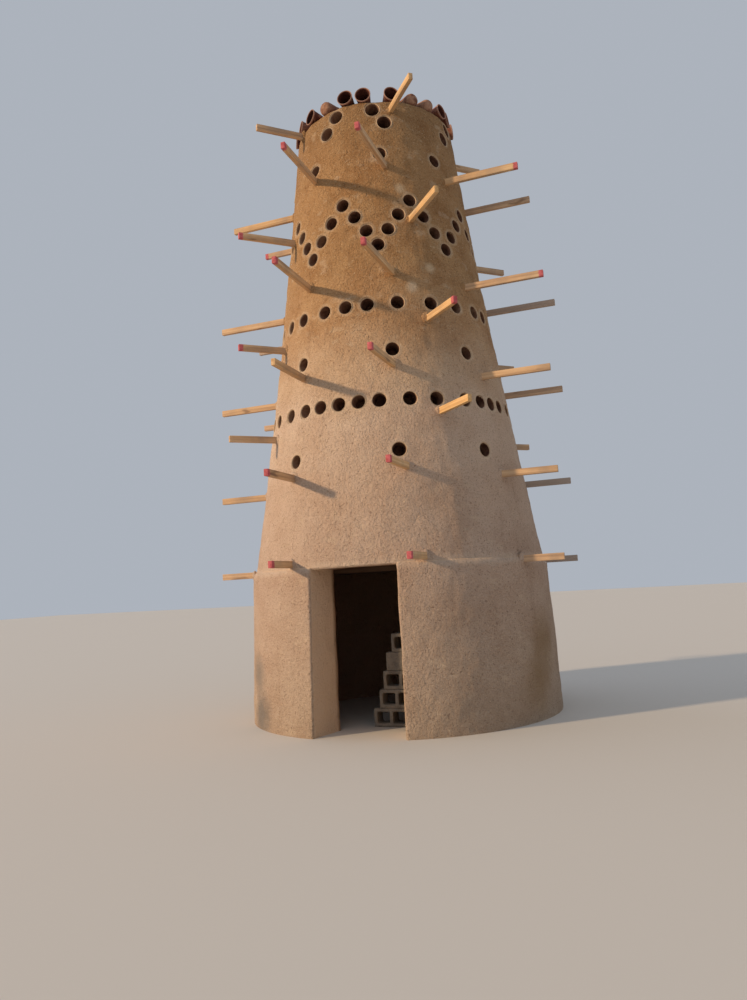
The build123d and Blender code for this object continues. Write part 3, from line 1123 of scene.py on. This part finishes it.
def make_rim_pots(name, turned_in):
    """The ring of clay pots on the rim, those that face in or those that face out."""
    draws = random.Random(FACING_IN_SEED if turned_in else FACING_OUT_SEED)
    stations = RIM_POT_FULL if turned_in else RIM_POT
    pot = turned("rim_pot", RIM_POT_SIDES, stations)
    mark_pot(pot, stations, RIM_POT_LIP)
    (heel_x, heel_radius), (lip_x, lip_radius) = (stations[rest] for rest in RIM_POT_RESTS)
    lean = math.atan2(lip_radius - heel_radius, lip_x - heel_x)
    rise = RIM_POT_MOUTH / 2 * math.cos(lean) - RIM_POT_SINK
    front = RIM_RADIUS + RIM_POT_OVERHANG
    copies = []
    for i, azimuth in enumerate(row_azimuths(RIM_POTS_FRONT, RIM_POTS_BACK)):
        if (i in RIM_POTS_TURNED) != turned_in:
            continue
        reach = front - RIM_POT_LENGTH if turned_in else front
        seat = place_at(azimuth, reach - draws.uniform(0, RIM_POT_SETBACK), WALL_HEIGHT + rise)
        about = Matrix.Rotation(math.pi if turned_in else 0.0, 4, "Z")
        about = about @ turn_about("Z", draws.uniform(-RIM_POT_TURN, RIM_POT_TURN))
        tilt = math.radians(draws.uniform(-RIM_POT_TILT, RIM_POT_TILT))
        tipped = Matrix.Rotation(-lean + tilt, 4, "Y")
        size = Matrix.Scale(draws.uniform(*RIM_POT_SIZES), 4)
        copies.append(copy_to(pot, seat @ about @ tipped @ size))
        store_one(copies[-1], "shade", draws.uniform(*RIM_POT_SHADES))
    drop(pot)
    pots = joined(copies, name)
    smooth(pots)
    return pots


# Mud pressed round each timber where it leaves the wall: half sizes of a lump, and the
# ranges of its depth in the wall, roll in radians, width, height and lift
COLLAR = (0.030, 0.062, 0.070)
COLLAR_SEED = 41
COLLAR_DEPTHS = (0.004, 0.012)
COLLAR_ROLLS = (-0.5, 0.5)
COLLAR_WIDTHS = (0.85, 1.2)
COLLAR_HEIGHTS = (0.85, 1.15)
COLLAR_LIFTS = (-0.008, 0.008)
COLLAR_LUMPS = ((0.05, 0.018),)


def wall_exit(timber_azimuth, offset, z, end):
    """The point where a timber's line leaves the wall, at one of its ends."""
    way = outward(timber_azimuth)
    side = Vector((-way.y, way.x, 0))
    half_chord = math.sqrt(outer_radius(z) ** 2 - offset ** 2)
    return way * end * half_chord + side * offset + Vector((0, 0, z))


def make_collars():
    """Low lumps of mud that bed the timbers in the wall."""
    draws = random.Random(COLLAR_SEED)
    deselect()
    bpy.ops.mesh.primitive_ico_sphere_add(subdivisions=3, radius=1)
    lump = new_piece("collar")
    bpy.ops.transform.resize(value=COLLAR)
    bpy.ops.object.transform_apply(scale=True)
    copies = []
    for timber_azimuth, offset, underside, _ in all_timbers:
        for end in (-1, 1):
            leaves = wall_exit(timber_azimuth, offset, underside + TIMBER_HEIGHT / 2, end)
            azimuth = math.degrees(math.atan2(leaves.y, leaves.x))
            radius = Vector((leaves.x, leaves.y, 0)).length - draws.uniform(*COLLAR_DEPTHS)
            roll = Matrix.Rotation(draws.uniform(*COLLAR_ROLLS), 4, "X")
            width, height = draws.uniform(*COLLAR_WIDTHS), draws.uniform(*COLLAR_HEIGHTS)
            place = place_at(azimuth, radius, leaves.z + draws.uniform(*COLLAR_LIFTS))
            copies.append(copy_to(lump, place @ roll @ Matrix.Diagonal((1, width, height, 1))))
    drop(lump)
    collars = joined(copies, "timber_mud")
    roughen(collars, COLLAR_LUMPS)
    smooth(collars)
    return collars


# The blocks inside the doorway, cast hollow with two cells
BLOCK_GRAIN = 0.0085
BLOCK_LUMPS = ((0.05, 0.010),)
CELL_ROUNDING = 0.014
CELL_OVERCUT = 0.05


def make_block(cell_size):
    """One block with worn edges; its cells run right through along one side."""
    block = new_box("block", (BLOCK_LENGTH, BLOCK_DEPTH, BLOCK_HEIGHT))
    cell_width = (BLOCK_LENGTH - 3 * BLOCK_SHELL) / 2
    for side in (-1, 1):
        middle = side * (cell_width + BLOCK_SHELL) / 2
        cell = new_box("cell", (cell_width, *cell_size), (middle, 0, 0))
        modify(cell, "BEVEL", width=CELL_ROUNDING, segments=2)
        cut(block, cell)
    modify(block, "REMESH", mode="VOXEL", voxel_size=BLOCK_GRAIN)
    roughen(block, BLOCK_LUMPS)
    return block


def make_blocks(course):
    """The blocks of one course, none of them below the ground."""
    through = BLOCK_DEPTH + CELL_OVERCUT
    within = BLOCK_HEIGHT - 2 * BLOCK_SHELL
    plain = course == BLOCK_PLAIN_COURSE
    block = make_block((within, through) if plain else (through, within))
    left = BLOCK_CORNER - FULL_COURSE_BLOCKS * BLOCK_LENGTH + BLOCK_STEPS[course - 1]
    middle_y, middle_z = BLOCK_DEPTH / 2 - BLOCK_FRONT, BLOCK_HEIGHT * (course - 0.5)
    copies = []
    for place in range(FULL_COURSE_BLOCKS if course == 1 else 1):
        x = left + BLOCK_LENGTH * (place + 0.5)
        copies.append(copy_to(block, Matrix.Translation((x, middle_y, middle_z))))
    drop(block)
    blocks = joined(copies, f"blocks_{course}")
    for vert in blocks.data.vertices:
        vert.co.z = max(vert.co.z, 0.0)
    smooth(blocks, 50)
    return blocks


# Stage
def make_floor():
    """A plain pale floor."""
    deselect()
    bpy.ops.mesh.primitive_plane_add(size=FLOOR_SIZE)
    floor = new_piece("floor")
    material, tree = new_material("pale_floor")
    shader = tree.nodes["Principled BSDF"]
    shader.inputs["Base Color"].default_value = colour(FLOOR_COLOUR)
    shader.inputs["Roughness"].default_value = FLOOR_ROUGHNESS
    floor.data.materials.append(material)


def make_light():
    """The lamps and the surround."""
    world = bpy.data.worlds.new("pale_surround")
    world.use_nodes = True
    background = world.node_tree.nodes["Background"]
    background.inputs["Color"].default_value = colour(SURROUND_COLOUR)
    background.inputs["Strength"].default_value = SURROUND_STRENGTH
    bpy.context.scene.world = world
    for name, azimuth, elevation, softness, strength, code in LAMPS:
        lamp = bpy.data.lights.new(name, "SUN")
        lamp.energy = strength
        lamp.angle = math.radians(softness)
        lamp.color = colour(code)[:3]
        holder = bpy.data.objects.new(name, lamp)
        bpy.context.scene.collection.objects.link(holder)
        rise = math.radians(elevation)
        towards = at(azimuth, math.cos(rise), math.sin(rise))
        holder.rotation_euler = towards.to_track_quat("Z", "Y").to_euler()


def make_camera():
    """The photograph's viewpoint, pitch and slight roll."""
    forward = HEADING.normalized() * math.cos(PITCH) + Vector((0, 0, math.sin(PITCH)))
    level_right = forward.cross(Vector((0, 0, 1))).normalized()
    level_up = level_right.cross(forward)
    right = level_right * math.cos(ROLL) + level_up * math.sin(ROLL)
    up = right.cross(forward)
    lens = bpy.data.cameras.new("photo_camera")
    lens.sensor_width = SENSOR_MM
    lens.lens = FOCAL_PIXELS * SENSOR_MM / LONG_SIDE_PIXELS
    lens.clip_end = VIEW_DEPTH
    camera = bpy.data.objects.new("photo_camera", lens)
    bpy.context.scene.collection.objects.link(camera)
    turn = Matrix((right, up, -forward)).transposed().to_4x4()
    camera.matrix_world = Matrix.Translation(EYE) @ turn
    bpy.context.scene.camera = camera


def finished(piece, material, nodes=()):
    """Give a piece its material and its body, and hide the solids that it stands for."""
    piece.data.materials.clear()
    piece.data.materials.append(material)
    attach(piece, "root")
    if nodes:
        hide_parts(*nodes)


def nodes_of(start):
    """The nodes whose names start in one way."""
    return [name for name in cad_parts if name.startswith(start)]


make_floor()
make_light()
make_camera()
bpy.context.scene.view_settings.view_transform = "Standard"

shaft_plaster = plaster("shaft_mud_plaster", SHAFT_RAW_EDGE, SHAFT_HAND_MARKS, SHAFT_STAINS)
base_plaster = plaster(
    "base_mud_plaster", BASE_RAW_EDGE, BASE_HAND_MARKS, BASE_STAINS, JAMB_EDGE
)
rim_clay = terracotta(
    "red_pot_clay", RIM_POT_INSIDE_SHADE_AND_SOOT, "#4A241C", "#6E3C2F", "#915E4B", "#B58F7C"
)
rim_dusty_clay = terracotta(
    "weathered_pot_clay", RIM_POT_INSIDE_SHADE_AND_SOOT, "#6E4636", "#936A54", "#B08C73", "#B99A82"
)
liner_clay = terracotta(
    "dusty_pot_clay", LINER_INSIDE_SHADE_AND_SOOT, "#54352A", "#835F4A", "#A4866C", "#D6BD9B"
)
timber_wood = timber()
block_concrete = concrete()

shaft = make_shaft()
pot_radii = [surface_radius(shaft, azimuth, z) for azimuth, z in nest_pots]
cut_pots(shaft)
mark_pots(shaft, pot_radii)
smooth(shaft)
finished(shaft, shaft_plaster, nodes_of("lift"))
base = make_base()
smooth(base)
finished(base, base_plaster, nodes_of("base"))
finished(make_liners(pot_radii), liner_clay)
timber_draws = random.Random(TIMBER_SEED)
for node in sorted(perches):
    finished(make_timbers(node, timber_draws), timber_wood, (node,))
finished(make_rim_pots("rim_pots_out", False), rim_clay, ("rim_pots_facing_out",))
finished(make_rim_pots("rim_pots_in", True), rim_dusty_clay, ("rim_pots_facing_in",))
finished(make_collars(), shaft_plaster)
for course in range(1, len(BLOCK_STEPS) + 1):
    finished(make_blocks(course), block_concrete, (f"block_course_{course}",))
